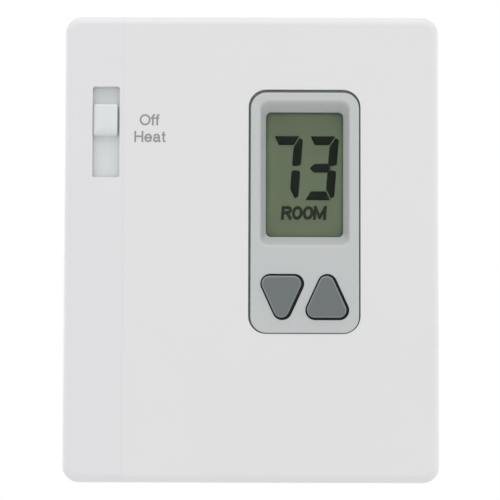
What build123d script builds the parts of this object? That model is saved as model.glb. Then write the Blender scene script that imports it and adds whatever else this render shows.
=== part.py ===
from build123d import *

import os
from math import radians, tan

# Battery-powered wall thermostat for heating: a wall plate, and a front unit that pulls off it.
# The wall is the XZ plane, +Z is up and the room is towards -Y.
# The origin is the middle of the wall plate's back face. Sizes are in millimetres.

# Housing, seen from the room
width = 94.0
height = 116.7
draft = 1.0
corner_round = 4.6
edge_round = 2.2
cover_wall = 2.0
cover_front = 2.2
cover_back = 0.8
running_gap = 0.4

# Switch strip down the left side of the cover
strip_width = 15.15
strip_thick = 1.6
strip_floor = 1.6
seam_chamfer = 0.05
strip_peg_r = 1.2
strip_peg_gap = 0.1
strip_peg_inset = 4.3
strip_peg_drop = 11.4

# Air vents in the top and bottom walls
vent_count = 7
vent_pitch = 8.0
vent_length = 6.0
vent_height = 1.8
vent_rear_gap = 2.0
vent_front_gap = 3.8

# Display bezel set into the cover, low and to the right in its opening
bezel_from_right = 33.775
bezel_from_top = 19.56
bezel_side = 1.08
bezel_top = 2.09
bezel_bottom = 8.91
bezel_round = 4.0
opening_left = 0.55
opening_right = 0.35
opening_top = 0.76
opening_bottom = 0.2
opening_round = 4.4
bezel_proud = 0.3
bezel_edge = 0.35
bezel_lip = 2.0
bezel_lip_thick = 1.2
bezel_front_wall = 1.7

# Display recess in the bezel, and the window and glass behind it
recess_width = 22.35
recess_height = 36.26
recess_round = 2.0
sight_width = 19.3
sight_height = 31.27
sight_round = 1.3
recess_depth = 2.9
recess_edge = 0.6
window_margin = 2.0
window_thick = 1.0
glass_gap = 0.2
glass_width = 22.5
front_glass_height = 38.0
contact_ledge = 2.5
glass_thick = 1.1
reflector_thick = 0.3
frame_wall = 1.8
frame_ledge = 1.5
frame_gap = 0.2
frame_peg_r = 0.9
frame_peg_inset = 4.0
contact_rise = 5.1
contact_side_gap = 0.35

# Push buttons, which sit a little high and to the left in their holes
key_pitch = 11.14
key_drop = 12.51
key_half_base = 2.97
key_rise = 6.5
key_round = 1.93
key_gap = 0.54
down_key_shift = -0.23
up_key_shift = -0.18
key_lift = 0.06
key_proud = 0.7
key_edge = 0.6
key_flange = 1.1
key_flange_thick = 1.0
key_stem_r = 1.6
key_seat_gap = 0.1
pocket_margin = 0.8
tact_size = 6.0
tact_height = 3.4
tact_floor = 0.6
tact_chamfer = 0.5
tact_pin_inset = 0.75
plunger_r = 1.7
plunger_rise = 1.6
plunger_gap = 0.08
plunger_foot = 0.8

# Slide switch and its knob
slot_margin = 0.99
slot_from_top = 29.49
slot_width = 6.73
slot_height = 22.62
slot_round = 0.6
knob_rise = 2.93
knob_left_gap = 0.3
knob_right_gap = 0.55
knob_height = 7.93
knob_proud = 0.5
knob_brow = 0.6
knob_toe = 1.3
knob_left_edge = 0.8
knob_right_edge = 0.3
switch_travel = 4.0
shutter_overlap = 0.6
shutter_thick = 1.0
shutter_gap = 0.3
channel_gap = 0.25
can_width = 9.0
can_length = 20.0
can_height = 4.4
can_wall = 0.5
switch_base_thick = 1.0
switch_pin_span = 5.0
switch_pin_pitch = 7.0
lever_width = 2.8
lever_length = 3.6
lever_block_thick = 1.8
lever_reach = 1.5
lever_fit = 0.05
boss_wall = 1.2
contact_thick = 0.3

# Circuit board
board_side_gap = 2.0
board_end_gap = 3.5
board_round = 2.0
board_thick = 1.6
board_gap = 1.0
solder_reach = 0.8
pin_r = 0.4
pin_gap = 0.1

# Parts soldered to the board
chip_size = 10.0
chip_height = 1.5
chip_chamfer = 0.6
chip_leads = 8
lead_width = 0.45
lead_length = 1.2
lead_thick = 0.25
crystal_from_bezel = 21.35
crystal_z = 26.0
crystal_width = 11.0
crystal_depth = 4.6
crystal_height = 3.6
crystal_foot = 0.5
crystal_edge = 0.4
relay_from_bezel = 27.35
relay_from_bottom = 26.2
relay_width = 20.0
relay_depth = 10.0
relay_height = 7.2
relay_chamfer = 0.6
relay_edge = 0.3
capacitor_from_bezel = 27.35
capacitor_zs = (-6.0, -16.0)
capacitor_r = 3.15
capacitor_height = 7.0
capacitor_groove = 0.35
capacitor_bead = 1.0
resistor_from_bezel = 15.35
resistor_count = 6
resistor_pitch = 3.6
resistor_length = 3.2
resistor_width = 1.6
resistor_height = 0.6
sensor_from_bezel = 5.35
sensor_from_bottom = 13.5
sensor_lead = 3.0
sensor_lead_r = 0.25
sensor_lead_pitch = 1.3
bead_r = 1.3

# Case screws at the board's corners
screw_inset_x = 8.5
screw_inset_z = 10.0
screw_r = 1.25
screw_gap = 0.25
screw_bite = 0.05
screw_length = 10.0
screw_head_r = 2.5
screw_head_thick = 1.8
cross_width = 0.7
cross_depth = 1.0
boss_r = 3.0

# Back cover of the front unit
back_thick = 1.6
back_gap = 0.45

# AAA cells side by side in the back cover
cell_r = 5.25
cell_length = 44.5
cell_nub_r = 1.9
cell_nub = 1.0
cell_edge = 0.5
cell_spacing = 1.0
cell_from_left = 19.25
cell_wall_gap = 0.6
cell_clear = 0.1
tray_wall = 1.5
tray_rise = 3.2
tray_gap = 0.3
contact_plate = 0.4
contact_width = 8.0
contact_tall = 8.0
contact_leaf = 3.0
contact_gap = 0.1
tail_width = 2.0

# Wall plate
plate_thick = 1.8
plate_rim = 1.6
plate_rim_depth = 6.0
wall_screw_span = 83.3
wall_slot_r = 2.1
wall_slot_length = 7.0
wall_slot_collar = 2.2
collar_rise = 1.0
wire_x = -2.0
wire_z = 19.0
wire_width = 18.0
wire_height = 22.0
wire_round = 2.0
post_inset_x = 17.0
post_inset_z = 11.0
post_r = 2.0
post_gap = 2.0
post_chamfer = 0.6
post_fit = 0.08
socket_wall = 1.6
socket_rise = 3.7

# Terminal block on the wall plate, and the plug behind the board
terminal_count = 4
terminal_pitch = 11.0
terminal_from_plug = 10.0
terminal_width = 10.0
terminal_gap = 2.0
bay_length = 8.6
bay_base = 3.2
divider = 1.2
plate_metal = 0.9
terminal_screw_r = 1.5
terminal_head_r = 2.9
terminal_head_thick = 1.9
plug_from_right = 13.0
plug_pin_r = 0.5
plug_tip_gap = 1.1
plug_fit = 0.1
plug_leaf = 0.5
plug_leaf_rise = 3.7
plug_leaf_length = 3.0
plug_width = 4.4
plug_bar_proud = 0.8

# Levels in front of the wall, stacked up from the wall plate to the front face
tray_rim = plate_thick + tray_rise
socket_rim = plate_thick + socket_rise
bay_floor = plate_thick + bay_base
terminal_level = bay_floor + plate_metal
plug_pin_tip = terminal_level + plug_tip_gap
cell_level = plate_thick + cell_wall_gap + cell_r
back_plate = cell_level + cell_r + cell_clear
post_top = back_plate - post_gap
terminal_top = back_plate - terminal_gap
plug_bar_back = back_plate - plug_bar_proud
back_front = back_plate + back_thick
board_back = back_front + board_gap
solder_level = board_back - solder_reach
board_front = board_back + board_thick
glass_joint = board_front + contact_rise
glass_back = glass_joint - glass_thick
reflector_back = glass_back - reflector_thick
glass_front = glass_joint + glass_thick
window_back = glass_front + glass_gap
bezel_back = window_back + window_thick
cover_inside = bezel_back + bezel_lip_thick
depth = cover_inside + cover_front
strip_level = depth - strip_thick
strip_inside = strip_level - strip_floor
bezel_front = depth + bezel_proud
pocket_floor = bezel_front - bezel_front_wall
key_top = bezel_front + key_proud
key_flange_front = pocket_floor - key_seat_gap
key_flange_back = key_flange_front - key_flange_thick
tact_top = board_front + tact_height
plunger_top = tact_top + plunger_rise
shutter_front = strip_level - shutter_gap
shutter_back = shutter_front - shutter_thick
can_top = board_front + switch_base_thick + can_height
lever_top = shutter_back + lever_reach

# Places across and up the face, from the housing's edges
seam_x = strip_width - width / 2
slot_x = seam_x - slot_margin - slot_width / 2
slot_z = height / 2 - slot_from_top
knob_z = slot_z + knob_rise
knob_width = slot_width - knob_left_gap - knob_right_gap
knob_x = slot_x + (knob_left_gap - knob_right_gap) / 2
bezel_x = width / 2 - bezel_from_right
bezel_width = key_pitch + 2 * (key_half_base + key_round + key_flange + pocket_margin + bezel_side)
bezel_height = bezel_top + recess_height + key_drop + bezel_bottom
bezel_z = height / 2 - bezel_from_top - bezel_height / 2
opening_x = bezel_x + (opening_right - opening_left) / 2
opening_z = bezel_z + (opening_top - opening_bottom) / 2
display_z = bezel_z + bezel_height / 2 - bezel_top - recess_height / 2
rear_glass_height = front_glass_height - 2 * contact_ledge
key_z = display_z - recess_height / 2 - key_drop
strip_peg_end = height / 2 - strip_peg_inset
strip_peg_upper = slot_z - slot_height / 2 - strip_peg_drop
strip_peg_zs = (strip_peg_end, strip_peg_upper, (strip_peg_upper - strip_peg_end) / 2, -strip_peg_end)
cell_x = cell_from_left - width / 2
cell_pitch = 2 * cell_r + cell_spacing
plug_x = width / 2 - plug_from_right
terminal_x = plug_x - terminal_from_plug
crystal_x = bezel_x - crystal_from_bezel
relay_x = bezel_x - relay_from_bezel
relay_z = relay_from_bottom - height / 2
capacitor_x = bezel_x - capacitor_from_bezel
resistor_x = bezel_x - resistor_from_bezel
sensor_x = bezel_x - sensor_from_bezel
sensor_z = sensor_from_bottom - height / 2
board_width = width - 2 * (cover_wall + board_side_gap)
board_height = height - 2 * (cover_wall + board_end_gap)
screw_span_x = width - 2 * screw_inset_x
screw_span_z = height - 2 * screw_inset_z
post_span_x = width - 2 * post_inset_x
post_span_z = height - 2 * post_inset_z
vent_levels = (back_plate - vent_rear_gap, board_front + vent_front_gap)


def layer(level):
    """The plane this far in front of the wall, facing the room, with X across and Z up."""
    return Plane.XZ.offset(level)


def inside_half(size, level):
    """Half of the cover's inner width or height at a level, where its walls lean in by the draft."""
    return size / 2 - cover_wall - (level - cover_back) * tan(radians(draft))


def key_outline(level, pointing, radius, shift=0, lift=0):
    """A triangle with round corners, pointing up (1) or down (-1), as a button and its hole have."""
    with BuildSketch(layer(level)) as outline:
        base_z = key_z + lift - pointing * key_rise / 2
        tip_z = key_z + lift + pointing * key_rise / 2
        key_x = bezel_x + pointing * key_pitch / 2 + shift
        with Locations(
            (key_x - key_half_base, base_z), (key_x + key_half_base, base_z), (key_x, tip_z)
        ):
            Circle(radius)
        make_hull()
    return outline.sketch


key_sides = {"down": -1, "up": 1}
key_shifts = {"down": down_key_shift, "up": up_key_shift}
key_xs = {side: bezel_x + pointing * key_pitch / 2 for side, pointing in key_sides.items()}
terminal_zs = [(i - (terminal_count - 1) / 2) * terminal_pitch for i in range(terminal_count)]
tact_pin_span = tact_size - 2 * tact_pin_inset
switch_z = knob_z - switch_travel / 2
frame_peg_span_x = glass_width + 2 * frame_gap + frame_wall
frame_peg_span_z = front_glass_height - 2 * frame_peg_inset
shutter_top = slot_z + slot_height / 2 + switch_travel + shutter_overlap
shutter_bottom = slot_z - slot_height / 2 - shutter_overlap
shutter_width = slot_width + 2 * shutter_overlap
cell_xs = (cell_x - cell_pitch / 2, cell_x + cell_pitch / 2)
cell_space = cell_length + contact_leaf + 2 * contact_plate + 3 * contact_gap
cell_top = cell_space / 2
pieces = {}

# Outer form of the housing, shared by the cover and the strip
with BuildPart() as housing:
    with BuildSketch(layer(cover_back)):
        RectangleRounded(width, height, corner_round)
    extrude(amount=depth - cover_back, taper=draft)
    fillet(housing.faces().sort_by(Axis.Y)[0].edges(), edge_round)

# Front cover: a shell open at the back, with a rebate for the strip and an opening for the bezel
with BuildPart() as front_cover:
    add(housing.part)
    with BuildSketch(layer(cover_back)):
        RectangleRounded(width - 2 * cover_wall, height - 2 * cover_wall, corner_round - cover_wall)
    extrude(amount=cover_inside - cover_back, taper=draft, mode=Mode.SUBTRACT)
    floor_left = -width / 2 + cover_wall
    floor_right = seam_x + cover_wall
    with BuildSketch(layer(strip_inside)):
        with Locations(((floor_left + floor_right) / 2, 0)):
            Rectangle(floor_right - floor_left, height - 2 * cover_wall)
    extrude(amount=cover_inside - strip_inside)
    with BuildSketch(layer(strip_level)):
        with Locations((seam_x, 0)):
            Rectangle(width, height + 2 * cover_wall, align=(Align.MAX, Align.CENTER))
    extrude(amount=strip_thick, mode=Mode.SUBTRACT)
    seam_edge = front_cover.edges().filter_by(Axis.Z).sort_by_distance((seam_x, -depth, 0))[0]
    chamfer(seam_edge, seam_chamfer)
    with BuildSketch(layer(strip_inside)):
        for peg_z in strip_peg_zs:
            with Locations((slot_x, peg_z)):
                Circle(strip_peg_r + strip_peg_gap)
        with Locations((slot_x, (shutter_top + shutter_bottom - switch_travel) / 2)):
            channel = shutter_top - shutter_bottom + switch_travel + 2 * channel_gap
            Rectangle(shutter_width + 2 * channel_gap, channel)
    extrude(amount=strip_floor, mode=Mode.SUBTRACT)
    with BuildSketch(layer(cover_inside)):
        with Locations((opening_x, opening_z)):
            RectangleRounded(
                bezel_width + opening_left + opening_right,
                bezel_height + opening_top + opening_bottom,
                opening_round,
            )
    extrude(amount=cover_front, mode=Mode.SUBTRACT)
    for boss_x, boss_top in ((-screw_span_x / 2, strip_inside), (screw_span_x / 2, cover_inside)):
        with BuildSketch(layer(board_front)):
            with Locations((boss_x, 0)):
                with GridLocations(1, screw_span_z, 1, 2):
                    Circle(boss_r)
        extrude(amount=boss_top - board_front)
    with BuildSketch(layer(board_front)):
        with GridLocations(screw_span_x, screw_span_z, 2, 2):
            Circle(screw_r + screw_bite)
    extrude(amount=back_plate + screw_length + screw_gap - board_front, mode=Mode.SUBTRACT)
    for vent_level in vent_levels:
        with BuildSketch(Plane.XY):
            with Locations((0, -vent_level)):
                with GridLocations(vent_pitch, vent_height, vent_count, 1):
                    SlotOverall(vent_length, vent_height)
        extrude(amount=height, both=True, mode=Mode.SUBTRACT)
pieces["front_cover"] = front_cover

# Switch strip: the left slice of the housing, flush with the cover, with the knob's slot
with BuildPart() as switch_strip:
    add(housing.part)
    with BuildSketch(layer(strip_level)):
        with Locations((seam_x, 0)):
            Rectangle(width, height + 2 * cover_wall, align=(Align.MAX, Align.CENTER))
    extrude(amount=strip_thick, mode=Mode.INTERSECT)
    seam_edge = switch_strip.edges().filter_by(Axis.Z).sort_by_distance((seam_x, -depth, 0))[0]
    chamfer(seam_edge, seam_chamfer)
    with BuildSketch(layer(strip_level)):
        with Locations((slot_x, slot_z)):
            RectangleRounded(slot_width, slot_height, slot_round)
    extrude(amount=strip_thick, mode=Mode.SUBTRACT)
    with BuildSketch(layer(strip_inside)):
        for peg_z in strip_peg_zs:
            with Locations((slot_x, peg_z)):
                Circle(strip_peg_r)
    extrude(amount=strip_floor)
pieces["switch_strip"] = switch_strip

# Display bezel: a lipped plate with a sloping recess and two button holes over a pocket
with BuildPart() as display_bezel:
    with BuildSketch(layer(bezel_back)):
        with Locations((bezel_x, bezel_z)):
            RectangleRounded(bezel_width, bezel_height, bezel_round)
    extrude(amount=bezel_front - bezel_back)
    fillet(display_bezel.faces().sort_by(Axis.Y)[0].edges(), bezel_edge)
    with BuildSketch(layer(bezel_back)):
        with Locations((bezel_x, bezel_z)):
            RectangleRounded(
                bezel_width + 2 * bezel_lip, bezel_height + 2 * bezel_lip, bezel_round + bezel_lip
            )
    extrude(amount=bezel_lip_thick)
    with BuildSketch(layer(bezel_front)):
        with Locations((bezel_x, display_z)):
            RectangleRounded(recess_width, recess_height, recess_round)
    with BuildSketch(layer(bezel_front - recess_depth)):
        with Locations((bezel_x, display_z)):
            RectangleRounded(sight_width, sight_height, sight_round)
    loft(mode=Mode.SUBTRACT)
    recess_rim = display_bezel.edges().filter_by_position(
        Axis.Y, -bezel_front - bezel_edge / 2, -bezel_front + bezel_edge / 2
    )
    recess_rim = recess_rim.filter_by_position(
        Axis.X, bezel_x - recess_width / 2 - bezel_edge, bezel_x + recess_width / 2 + bezel_edge
    )
    recess_rim = recess_rim.filter_by_position(
        Axis.Z, display_z - recess_height / 2 - bezel_edge, display_z + recess_height / 2 + bezel_edge
    )
    fillet(recess_rim, recess_edge)
    with BuildSketch(layer(bezel_back)):
        with Locations((bezel_x, display_z)):
            RectangleRounded(sight_width, sight_height, sight_round)
    extrude(amount=bezel_front - recess_depth - bezel_back, mode=Mode.SUBTRACT)
    flange_r = key_round + key_flange
    with BuildSketch(layer(bezel_back)):
        with Locations((bezel_x, key_z)):
            Rectangle(
                key_pitch + 2 * (key_half_base + flange_r + pocket_margin),
                key_rise + 2 * (flange_r + pocket_margin),
            )
    extrude(amount=pocket_floor - bezel_back, mode=Mode.SUBTRACT)
    for pointing in key_sides.values():
        extrude(
            key_outline(pocket_floor, pointing, key_round + key_gap),
            amount=bezel_front_wall,
            mode=Mode.SUBTRACT,
        )
pieces["display_bezel"] = display_bezel

# Clear window glued behind the bezel's recess
with BuildPart() as display_window:
    with BuildSketch(layer(window_back)):
        with Locations((bezel_x, display_z)):
            Rectangle(sight_width + 2 * window_margin, sight_height + 2 * window_margin)
    extrude(amount=window_thick)
pieces["display_window"] = display_window

# Liquid crystal cell: the front glass stands past the rear one, and its ledges carry the contacts
with BuildPart() as lcd_front_glass:
    with BuildSketch(layer(glass_joint)):
        with Locations((bezel_x, display_z)):
            Rectangle(glass_width, front_glass_height)
    extrude(amount=glass_thick)
pieces["lcd_front_glass"] = lcd_front_glass

with BuildPart() as lcd_rear_glass:
    with BuildSketch(layer(glass_back)):
        with Locations((bezel_x, display_z)):
            Rectangle(glass_width, rear_glass_height)
    extrude(amount=glass_thick)
pieces["lcd_rear_glass"] = lcd_rear_glass

with BuildPart() as lcd_reflector:
    with BuildSketch(layer(reflector_back)):
        with Locations((bezel_x, display_z)):
            Rectangle(glass_width, rear_glass_height)
    extrude(amount=reflector_thick)
pieces["lcd_reflector"] = lcd_reflector

# Rubber contact strips between the front glass's ledges and the board
with BuildPart() as lcd_contact_strips:
    with BuildSketch(layer(board_front)):
        with Locations((bezel_x, display_z)):
            with GridLocations(glass_width, front_glass_height - contact_ledge, 1, 2):
                Rectangle(glass_width - 2 * frame_ledge, contact_ledge - 2 * contact_side_gap)
    extrude(amount=glass_joint - board_front)
pieces["lcd_contact_strips"] = lcd_contact_strips

# Frame that holds the cell on the board: a tube with side ledges, pegged through the board
with BuildPart() as lcd_frame:
    pocket_width = glass_width + 2 * frame_gap
    pocket_height = front_glass_height + 2 * frame_gap
    with BuildSketch(layer(board_front)):
        with Locations((bezel_x, display_z)):
            Rectangle(pocket_width + 2 * frame_wall, pocket_height + 2 * frame_wall)
            Rectangle(pocket_width, pocket_height, mode=Mode.SUBTRACT)
    extrude(amount=glass_front - board_front)
    with BuildSketch(layer(board_front)):
        with Locations((bezel_x, display_z)):
            with GridLocations(pocket_width - frame_ledge, 1, 2, 1):
                Rectangle(frame_ledge, pocket_height)
    extrude(amount=reflector_back - board_front)
    with BuildSketch(layer(solder_level)):
        with Locations((bezel_x, display_z)):
            with GridLocations(frame_peg_span_x, frame_peg_span_z, 2, 2):
                Circle(frame_peg_r)
    extrude(amount=board_front - solder_level)
pieces["lcd_frame"] = lcd_frame

# Buttons, each with a flange behind the bezel and a stem on its switch's plunger
for side, pointing in key_sides.items():
    with BuildPart() as button:
        extrude(
            key_outline(key_flange_back, pointing, key_round, key_shifts[side], key_lift),
            amount=key_top - key_flange_back,
        )
        fillet(button.faces().sort_by(Axis.Y)[0].edges(), key_edge)
        extrude(
            key_outline(key_flange_back, pointing, key_round + key_flange, key_shifts[side], key_lift),
            amount=key_flange_thick,
        )
        with BuildSketch(layer(plunger_top)):
            with Locations((key_xs[side], key_z)):
                Circle(key_stem_r)
        extrude(amount=key_flange_back - plunger_top)
    pieces[f"{side}_button"] = button

    with BuildPart() as plunger:
        with BuildSketch(layer(board_front + tact_floor + plunger_foot)):
            with Locations((key_xs[side], key_z)):
                Circle(plunger_r)
        extrude(amount=plunger_top - board_front - tact_floor - plunger_foot)
    pieces[f"{side}_plunger"] = plunger

    with BuildPart() as tact:
        with BuildSketch(layer(board_front)):
            with Locations((key_xs[side], key_z)):
                Rectangle(tact_size, tact_size)
        extrude(amount=tact_height)
        chamfer(tact.edges().filter_by(Axis.Y), tact_chamfer)
        with BuildSketch(layer(board_front + tact_floor)):
            with Locations((key_xs[side], key_z)):
                Circle(plunger_r + plunger_gap)
        extrude(amount=tact_height - tact_floor, mode=Mode.SUBTRACT)
        with BuildSketch(layer(solder_level)):
            with Locations((key_xs[side], key_z)):
                with GridLocations(tact_pin_span, tact_pin_span, 2, 2):
                    Circle(pin_r)
        extrude(amount=board_front - solder_level)
    pieces[f"{side}_switch_body"] = tact

# Slide switch on the board: base with pins, steel can, lever, bridging contact
with BuildPart() as slide_switch_base:
    with BuildSketch(layer(board_front)):
        with Locations((slot_x, switch_z)):
            Rectangle(can_width, can_length)
    extrude(amount=switch_base_thick)
    with BuildSketch(layer(solder_level)):
        with Locations((slot_x, switch_z)):
            with GridLocations(switch_pin_span, switch_pin_pitch, 2, 3):
                Circle(pin_r)
    extrude(amount=board_front - solder_level)
pieces["slide_switch_base"] = slide_switch_base

with BuildPart() as slide_switch_can:
    with BuildSketch(layer(board_front + switch_base_thick)):
        with Locations((slot_x, switch_z)):
            Rectangle(can_width, can_length)
    extrude(amount=can_height)
    fillet(slide_switch_can.faces().sort_by(Axis.Y)[0].edges(), can_wall)
    with BuildSketch(layer(board_front + switch_base_thick)):
        with Locations((slot_x, switch_z)):
            Rectangle(can_width - 2 * can_wall, can_length - 2 * can_wall)
    extrude(amount=can_height - can_wall, mode=Mode.SUBTRACT)
    with BuildSketch(layer(can_top - can_wall)):
        with Locations((slot_x, switch_z)):
            Rectangle(lever_width + 2 * channel_gap, lever_length + switch_travel + 2 * channel_gap)
    extrude(amount=can_wall, mode=Mode.SUBTRACT)
pieces["slide_switch_can"] = slide_switch_can

block_top = can_top - can_wall - channel_gap
with BuildPart() as slide_switch_lever:
    with BuildSketch(layer(block_top - lever_block_thick)):
        with Locations((slot_x, knob_z)):
            Rectangle(can_width - 2 * can_wall - 2 * channel_gap, lever_length + switch_travel)
    extrude(amount=lever_block_thick)
    with BuildSketch(layer(block_top)):
        with Locations((slot_x, knob_z)):
            Rectangle(lever_width, lever_length)
    extrude(amount=lever_top - block_top)
pieces["slide_switch_lever"] = slide_switch_lever

# The contact hangs from the lever's block and bridges the pins' ends on the base
with BuildPart() as slide_switch_contact:
    contact_top = block_top - lever_block_thick
    contact_foot = board_front + switch_base_thick + channel_gap
    with BuildSketch(layer(contact_top - contact_thick)):
        with Locations((slot_x, knob_z)):
            Rectangle(switch_pin_span, lever_length)
    extrude(amount=contact_thick)
    with BuildSketch(layer(contact_foot)):
        with Locations((slot_x, knob_z)):
            with GridLocations(switch_pin_span - contact_thick, 1, 2, 1):
                Rectangle(contact_thick, lever_length)
    extrude(amount=contact_top - contact_foot)
pieces["slide_switch_contact"] = slide_switch_contact

# Knob: a finger piece, rounder at its left, on a shutter plate that closes the slot and grips the lever
with BuildPart() as switch_knob:
    knob_reach = depth + knob_proud - shutter_back
    with BuildSketch(Plane.YZ.offset(knob_x)) as knob_side:
        with Locations((-shutter_back, knob_z)):
            Rectangle(knob_reach, knob_height, align=(Align.MAX, Align.CENTER))
        fillet(knob_side.vertices().group_by(Axis.X)[0].sort_by(Axis.Y)[0], knob_toe)
        fillet(knob_side.vertices().group_by(Axis.X)[0].sort_by(Axis.Y)[-1], knob_brow)
    extrude(amount=knob_width / 2, both=True)
    with BuildSketch(Plane.XY.offset(knob_z)) as knob_plan:
        with Locations((knob_x, -shutter_back)):
            Rectangle(knob_width, knob_reach, align=(Align.CENTER, Align.MAX))
        fillet(knob_plan.vertices().group_by(Axis.Y)[0].sort_by(Axis.X)[0], knob_left_edge)
        fillet(knob_plan.vertices().group_by(Axis.Y)[0].sort_by(Axis.X)[-1], knob_right_edge)
    extrude(amount=knob_height / 2, both=True, mode=Mode.INTERSECT)
    with BuildSketch(layer(shutter_back)):
        with Locations((slot_x, (shutter_top + shutter_bottom) / 2)):
            Rectangle(shutter_width, shutter_top - shutter_bottom)
    extrude(amount=shutter_thick)
    boss_back = can_top + channel_gap
    with BuildSketch(layer(boss_back)):
        with Locations((slot_x, knob_z)):
            Rectangle(lever_width + 2 * boss_wall, lever_length + 2 * boss_wall)
    extrude(amount=shutter_back - boss_back)
    with BuildSketch(layer(boss_back)):
        with Locations((slot_x, knob_z)):
            Rectangle(lever_width + 2 * lever_fit, lever_length + 2 * lever_fit)
    extrude(amount=lever_top + lever_fit - boss_back, mode=Mode.SUBTRACT)
pieces["switch_knob"] = switch_knob

# Circuit board with a hole for every screw, peg and pin
tail_z = -cell_top + contact_plate / 2
with BuildPart() as circuit_board:
    with BuildSketch(layer(board_back)):
        RectangleRounded(board_width, board_height, board_round)
        with GridLocations(screw_span_x, screw_span_z, 2, 2):
            Circle(screw_r + screw_gap, mode=Mode.SUBTRACT)
        with Locations((bezel_x, display_z)):
            with GridLocations(frame_peg_span_x, frame_peg_span_z, 2, 2):
                Circle(frame_peg_r + pin_gap, mode=Mode.SUBTRACT)
        for key_x in key_xs.values():
            with Locations((key_x, key_z)):
                with GridLocations(tact_pin_span, tact_pin_span, 2, 2):
                    Circle(pin_r + pin_gap, mode=Mode.SUBTRACT)
        with Locations((slot_x, switch_z)):
            with GridLocations(switch_pin_span, switch_pin_pitch, 2, 3):
                Circle(pin_r + pin_gap, mode=Mode.SUBTRACT)
        with Locations((sensor_x, sensor_z)):
            with GridLocations(sensor_lead_pitch, 1, 2, 1):
                Circle(sensor_lead_r + pin_gap, mode=Mode.SUBTRACT)
        for terminal_z in terminal_zs:
            with Locations((plug_x, terminal_z)):
                Circle(plug_pin_r + pin_gap, mode=Mode.SUBTRACT)
        for cell_center in cell_xs:
            with Locations((cell_center, tail_z)):
                Rectangle(
                    tail_width + 2 * pin_gap, contact_plate + 2 * pin_gap, mode=Mode.SUBTRACT
                )
    extrude(amount=board_thick)
pieces["circuit_board"] = circuit_board

# Parts soldered to the board's front
with BuildPart() as controller_chip:
    with BuildSketch(layer(board_front + lead_thick)):
        with Locations((bezel_x, display_z)):
            Rectangle(chip_size, chip_size)
    extrude(amount=chip_height)
    chamfer(controller_chip.edges().filter_by(Axis.Y), chip_chamfer)
    lead_span = chip_size + lead_length
    with BuildSketch(layer(board_front)):
        with Locations((bezel_x, display_z)):
            with GridLocations(lead_span, chip_size / (chip_leads + 1), 2, chip_leads):
                Rectangle(2 * lead_length, lead_width)
            with GridLocations(chip_size / (chip_leads + 1), lead_span, chip_leads, 2):
                Rectangle(lead_width, 2 * lead_length)
    extrude(amount=2 * lead_thick)
pieces["controller_chip"] = controller_chip

with BuildPart() as clock_crystal:
    with BuildSketch(layer(board_front)):
        with Locations((crystal_x, crystal_z)):
            SlotOverall(crystal_width + 2 * crystal_foot, crystal_depth + 2 * crystal_foot)
    extrude(amount=crystal_foot)
    with BuildSketch(layer(board_front + crystal_foot)):
        with Locations((crystal_x, crystal_z)):
            SlotOverall(crystal_width, crystal_depth)
    extrude(amount=crystal_height - crystal_foot)
    fillet(clock_crystal.faces().sort_by(Axis.Y)[0].edges(), crystal_edge)
pieces["clock_crystal"] = clock_crystal

with BuildPart() as heat_relay:
    with BuildSketch(layer(board_front)):
        with Locations((relay_x, relay_z)):
            Rectangle(relay_width, relay_depth)
    extrude(amount=relay_height)
    chamfer(heat_relay.edges().filter_by(Axis.Y), relay_chamfer)
    fillet(heat_relay.faces().sort_by(Axis.Y)[0].edges(), relay_edge)
pieces["heat_relay"] = heat_relay

with BuildPart() as capacitors:
    rim = capacitor_x + capacitor_r
    waist = rim - capacitor_groove
    foot = -board_front
    top = foot - capacitor_height
    for capacitor_z in capacitor_zs:
        with BuildSketch(Plane.XY.offset(capacitor_z)):
            with BuildLine():
                Polyline(
                    (capacitor_x, foot),
                    (rim, foot),
                    (rim, foot - capacitor_bead),
                    (waist, foot - capacitor_bead - capacitor_groove),
                    (rim, foot - capacitor_bead - 2 * capacitor_groove),
                    (rim, top + capacitor_groove),
                    (waist, top),
                    (capacitor_x, top),
                    close=True,
                )
            make_face()
        revolve(axis=Axis((capacitor_x, 0, capacitor_z), (0, 1, 0)))
pieces["capacitors"] = capacitors

with BuildPart() as resistors:
    with BuildSketch(layer(board_front)):
        with Locations((resistor_x, key_z)):
            with GridLocations(1, resistor_pitch, 1, resistor_count):
                Rectangle(resistor_length, resistor_width)
    extrude(amount=resistor_height)
pieces["resistors"] = resistors

# Bead thermistor on two leads, low on the board near the bottom vents
with BuildPart() as temperature_sensor:
    with BuildSketch(layer(solder_level)):
        with Locations((sensor_x, sensor_z)):
            with GridLocations(sensor_lead_pitch, 1, 2, 1):
                Circle(sensor_lead_r)
    extrude(amount=board_front + sensor_lead - solder_level)
    with Locations((sensor_x, -board_front - sensor_lead, sensor_z)):
        Sphere(bead_r)
pieces["temperature_sensor"] = temperature_sensor

# Plug behind the board: an insulating bar and round pins for the wall plate's terminals
plug_length = terminal_count * terminal_pitch
with BuildPart() as plug_bar:
    with BuildSketch(layer(plug_bar_back)):
        with Locations((plug_x, 0)):
            Rectangle(plug_width, plug_length)
        for terminal_z in terminal_zs:
            with Locations((plug_x, terminal_z)):
                Circle(plug_pin_r + pin_gap, mode=Mode.SUBTRACT)
    extrude(amount=board_back - plug_bar_back)
pieces["plug_bar"] = plug_bar

with BuildPart() as plug_pins:
    with BuildSketch(layer(plug_pin_tip)):
        for terminal_z in terminal_zs:
            with Locations((plug_x, terminal_z)):
                Circle(plug_pin_r)
    extrude(amount=board_front + solder_reach - plug_pin_tip)
    chamfer(plug_pins.faces().group_by(Axis.Y)[-1].edges(), plug_pin_r / 2)
pieces["plug_pins"] = plug_pins

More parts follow.
